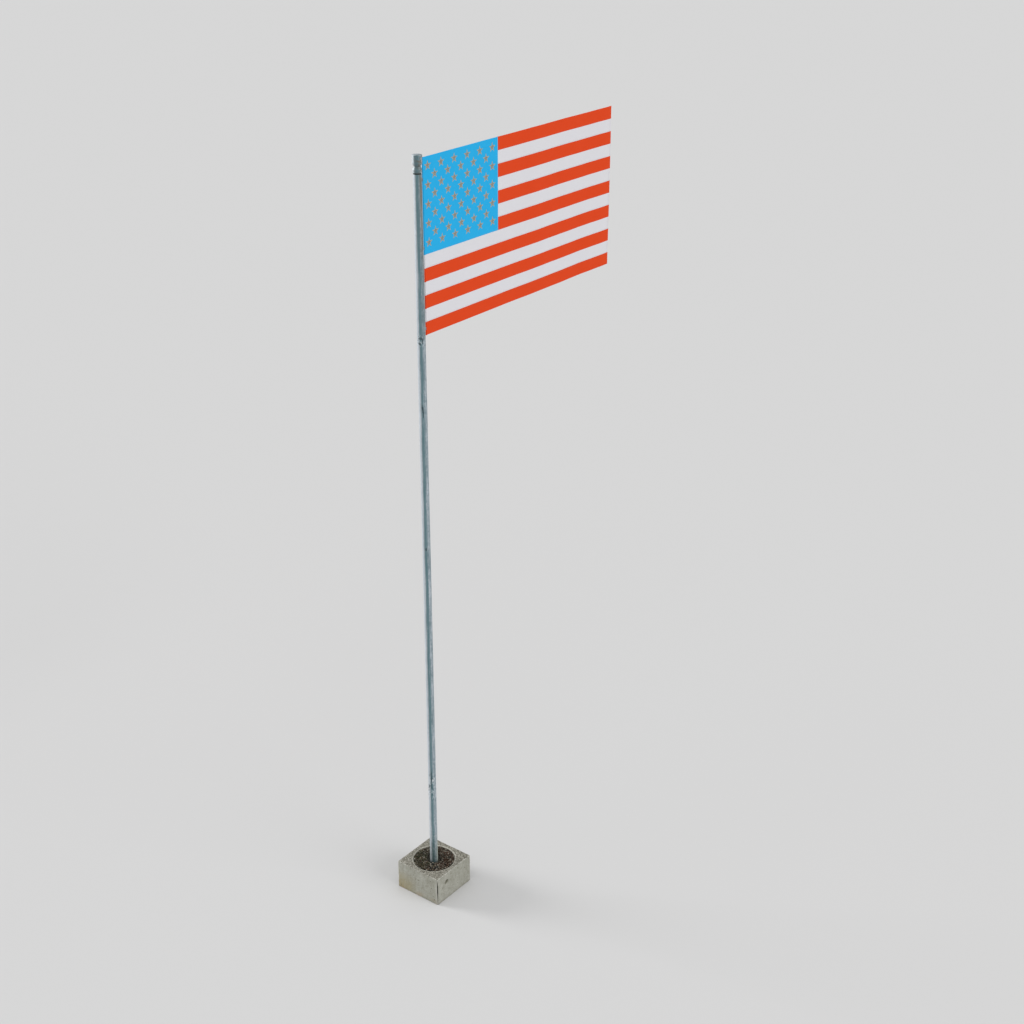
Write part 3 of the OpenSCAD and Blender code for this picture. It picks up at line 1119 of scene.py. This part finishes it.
def lapped(layer, number, y, z):
    """How far forward a strip stands, where it laps the canton's edge or corner."""
    before = 1 - step(y, CANTON_Y, CANTON_Y + 6 * MM)
    if number == 0:
        return layer + 1.5 * LAYER * step(y, CANTON_Y - LAP - 4 * MM, CANTON_Y - LAP)
    if number <= CANTON_STRIPES:
        return layer - 1.2 * LAYER * before
    if number == CANTON_STRIPES + 1:
        corner = step(y, HOIST_Y - LAP, CANTON_Y - LAP) * before
        return layer - 1.2 * LAYER * corner * step(z, CANTON_Z - 8 * MM, CANTON_Z - 1 * MM)
    return layer


def hemmed(x, y, z, way):
    """Lays the fly hem behind the strip, further off where it crosses a seam or the top or bottom hem."""
    seams = zone(z, [seam + LAP / 2 for seam in SEAMS[1:-1]], LAP * 0.75)
    edges = zone(z, [FLAG_TOP, FLAG_LOW], HEM_EDGE * 1.15)
    off = CLOTH_T / 2 + 0.12 * MM + LAYER * seams + 1.4 * MM * edges
    turning = x == TURNING
    y = np.where(turning, y + off * np.sin(way), y)
    return np.where(turning, -off * (1 - np.cos(way)), np.where(x == FOLDED, -2 * off, x)), y


def strip(name, number, finish, nodes):
    """One strip of the flag, sewn to its neighbours, with its share of the hems. Number 0 is the canton."""
    canton = number == 0
    hoist_hem = canton or number > CANTON_STRIPES
    z_high = FLAG_TOP - STRIPE_H * max(0, number - 1)
    z_low = CANTON_Z if canton else z_high - STRIPE_H
    start = HOIST_Y if hoist_hem else CANTON_Y - LAP
    us, ys, xs, ways = along_fly(start, CANTON_Y if canton else FLY_Y, hoist_hem)
    heights, layers = up_hoist(z_low, z_high, number < 2, number == STRIPES)
    vs = np.concatenate([[0], np.cumsum(np.hypot(np.diff(heights), np.diff(layers)))])
    sheet = added(name, bpy.ops.mesh.primitive_grid_add, x_subdivisions=len(us) - 1,
                  y_subdivisions=len(vs) - 1, size=1)
    row, column = np.divmod(np.arange(len(us) * len(vs)), len(us))
    z, way = heights[row], ways[column]
    layer = lapped(layers[row], number, ys[column], z)
    x, y = hemmed(xs[column], ys[column], z, way)
    x = x + layer * np.cos(way)
    y = y + layer * np.sin(way)
    x = x + ripple(y, z) + pucker(y, z)
    put_places(sheet, np.stack([x, y, z], 1))
    set_flat_map(sheet, us[column], vs[row])
    cut_slits(sheet)
    cloth = sheet.modifiers.new("cloth", "SOLIDIFY")
    cloth.thickness = CLOTH_T
    cloth.offset = 0
    apply_all(sheet)
    outwards(sheet)
    smooth(sheet, 60)
    settled(sheet, finish, nodes)
    return sheet


def up_hoist(z_low, z_high, top_hem, bottom_hem):
    """Where a strip's rows lie: heights, and how far each stands forward of the flag's middle."""
    back, turn = -2 * LAYER - CLOTH_T, -LAYER - CLOTH_T / 2
    heights, layers = [], []
    if bottom_hem:
        heights += list(np.linspace(z_low + HEM_EDGE, z_low, 5))
        layers += [back] * 4 + [turn]
        heights += list(np.linspace(z_low, z_low + HEM_EDGE, 5))[1:]
        layers += [0] * 4
    else:
        heights += list(z_low + np.array([0, 3, 6, 9, 11, 13]) * MM)
        layers += [LAYER] * 4 + [LAYER * 0.5, 0]
    if top_hem:
        first = z_high - HEM_EDGE
        top_rows = [(first + i * HEM_EDGE / 4, 0) for i in range(4)] + [(z_high, turn)]
        top_rows += [(z_high - i * HEM_EDGE / 4, back) for i in range(1, 5)]
    else:
        first = z_high - 4 * MM
        top_rows = [(first, 0), (z_high - 2 * MM, -LAYER * 0.5)]
        top_rows += [(z_high + i * MM, -LAYER) for i in (0, 3, 6, 9)]
    count = max(3, round((first - heights[-1]) / (9 * MM)))
    between = list(np.linspace(heights[-1], first, count + 1)[1:-1])
    for mark in [lug + end * SLIT_H / 2 for lug in LUG_ZS for end in (-1, 1)]:
        if between[0] < mark < between[-1]:
            nearest = min(range(len(between)), key=lambda i: abs(between[i] - mark))
            between[nearest] = mark
    heights += between + [h for h, _ in top_rows]
    layers += [0] * len(between) + [w for _, w in top_rows]
    return np.array(heights), np.array(layers)


def set_flat_map(sheet, u, v):
    """Lays the strip out flat, in metres, as its UV map."""
    flat = sheet.data.uv_layers.active or sheet.data.uv_layers.new()
    corner = np.empty(len(sheet.data.loops), int)
    sheet.data.loops.foreach_get("vertex_index", corner)
    flat.data.foreach_set("uv", np.stack([u[corner], v[corner]], 1).ravel())


def cut_slits(sheet):
    """Opens the hem on the pole's side where each lug goes in."""
    in_slits = [p.y < ROD_Y - 3 * MM and abs(p.x) < SLIT_W / 2
                and any(abs(p.z - z) < SLIT_H / 2 for z in LUG_ZS)
                for p in (face.center for face in sheet.data.polygons)]
    if not any(in_slits):
        return
    edit(faces=True)
    bpy.ops.mesh.select_all(action="DESELECT")
    edited()
    sheet.data.polygons.foreach_set("select", in_slits)
    bpy.ops.object.mode_set(mode="EDIT")
    bpy.ops.mesh.delete(type="FACE")
    edited()


def star_shape():
    """One embroidered star: a raised border and a fill with a ridge along each arm. It looks along +X."""
    star = added("star", bpy.ops.mesh.primitive_circle_add, vertices=10, radius=STAR_R, fill_type="NGON")
    co = places(star)
    angle = np.arctan2(co[:, 0], co[:, 1])
    inner = np.round(angle / (math.tau / 10)).astype(int) % 2 == 1
    co[inner] *= STAR_WAIST
    put_places(star, co)
    edit(faces=True)
    extrude_up(0.35 * MM)
    bpy.ops.mesh.inset(thickness=STAR_BORDER * 0.5, depth=0.55 * MM)
    bpy.ops.mesh.inset(thickness=STAR_BORDER * 0.5, depth=-0.35 * MM)
    bpy.ops.mesh.poke(offset=0.5 * MM)
    edited()
    outwards(star)
    bevelled(star, 0.3 * MM, 2, 8)
    flat = star.data.uv_layers.active or star.data.uv_layers.new()
    for loop in star.data.loops:
        p = star.data.vertices[loop.vertex_index].co
        flat.data[loop.index].uv = (p.x, p.y)
    star.data.transform(Matrix(((0, 0, 1, 0), (1, 0, 0, 0), (0, 1, 0, 0), (0, 0, 0, 1))))
    return star


def star_places():
    """The middles of the fifty stars, from the box that they fill."""
    low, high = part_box("stars_front")
    side_reach = STAR_R * math.cos(math.radians(18))
    y0, y1 = low.y + side_reach, high.y - side_reach
    z1 = high.z - STAR_R
    z0 = low.z + STAR_R * math.cos(math.radians(36))
    rows, columns = 9, 11
    for row in range(rows):
        for column in range(row % 2, columns, 2):
            yield y0 + (y1 - y0) * column / (columns - 1), z1 - (z1 - z0) * row / (rows - 1)


def stars(name, side, node, finish):
    """Fifty stars on one face of the canton, lying on the cloth."""
    shape = star_shape()
    copies = []
    for y, z in star_places():
        lie = Matrix.Translation((side * CLOTH_T * 0.45, y, z)) @ Matrix.Diagonal((side, 1, 1, 1))
        star = copied(shape, lie)
        co = places(star)
        co[:, 0] += ripple(co[:, 1], co[:, 2]) + pucker(co[:, 1], co[:, 2])
        put_places(star, co)
        copies.append(star)
    bpy.data.objects.remove(shape)
    piece = joined(name, copies)
    outwards(piece)
    smooth(piece, 12)
    return settled(piece, finish, [node])


def flag_pieces():
    """The canton and its stars, and the thirteen stripes."""
    thread = thread_finish()
    stars("stars_obverse", 1, "stars_front", thread)
    stars("stars_reverse", -1, "stars_back", thread)
    sky = cloth_finish("canton_nylon", (42, 173, 228), (28, 156, 216), (96, 194, 234),
                       FLAG_TOP - CANTON_Z + HEM_EDGE)
    red = cloth_finish("red_nylon", (220, 70, 28), (208, 62, 24), (232, 104, 68), STRIPE_H + LAP)
    white = cloth_finish("white_nylon", (218, 217, 221), (206, 205, 211), (196, 195, 200), STRIPE_H + LAP)
    strip("canton_sheet", 0, sky, ["canton", "hoist_hem"])
    for number in range(1, STRIPES + 1):
        dyed = number % 2 == 1
        strip(f"stripe_{number:02}_sheet", number, red if dyed else white,
              [f"stripe_{number:02}"])


# ---------------- studio

SKY_LIGHT = 0.60
SKY_SHOWN = 0.676
# name, degrees round from +X, degrees up, strength, softness in degrees
LAMPS = [("left", -160, 16, 2.15, 22), ("right", 6, 25, 1.15, 40), ("over", -70, 70, 0.5, 60)]


def sky_light():
    """An even pale sky, a little brighter where it is seen than where it lights."""
    world = bpy.data.worlds.new("studio")
    bpy.context.scene.world = world
    world.use_nodes = True
    background = world.node_tree.nodes["Background"]
    background.inputs["Color"].default_value = (1, 1, 1, 1)
    rays = world.node_tree.nodes.new("ShaderNodeLightPath").outputs
    through = most(Wire(rays["Is Glossy Ray"]), Wire(rays["Is Transmission Ray"]))
    shows = most(Wire(rays["Is Camera Ray"]), through)
    plug(background.inputs["Strength"], SKY_LIGHT + shows * (SKY_SHOWN - SKY_LIGHT))


def studio():
    """A pale floor, the sky and the lamps."""
    floor = added("floor", bpy.ops.mesh.primitive_plane_add, size=400)
    floor.data.materials.append(floor_finish())
    sky_light()
    for name, around, height, power, soft in LAMPS:
        lamp = bpy.data.lights.new(name, "SUN")
        lamp.energy = power
        lamp.angle = math.radians(soft)
        holder = bpy.data.objects.new(name, lamp)
        bpy.context.collection.objects.link(holder)
        a, e = math.radians(around), math.radians(height)
        towards = Vector((math.cos(a) * math.cos(e), math.sin(a) * math.cos(e), math.sin(e)))
        holder.rotation_euler = towards.to_track_quat("Z", "Y").to_euler()
    bpy.context.scene.view_settings.view_transform = "Standard"


def camera():
    """The camera stands outside the block's -Y, +X corner and looks down at the pole's middle."""
    lens = bpy.data.cameras.new("camera")
    lens.sensor_width = 36
    lens.lens = 57.342
    lens.clip_end = 1000
    holder = bpy.data.objects.new("camera", lens)
    bpy.context.collection.objects.link(holder)
    heading, pitch = math.radians(-37.3877), math.radians(24.7923)
    level = math.cos(pitch)
    look = Vector((math.sin(heading) * level, math.cos(heading) * level, -math.sin(pitch)))
    holder.location = (6.9133, -8.0293, 8.1445)
    holder.rotation_euler = look.to_track_quat("-Z", "Y").to_euler()
    bpy.context.scene.camera = holder


camera()
studio()
base_pieces()
pole_piece()
truck_piece()
neck_node()
fittings = fitting_finish("galvanised_small", 0.0)
rod_piece(fittings)
for lug in LUGS:
    lug_piece(lug, fittings)
flag_pieces()
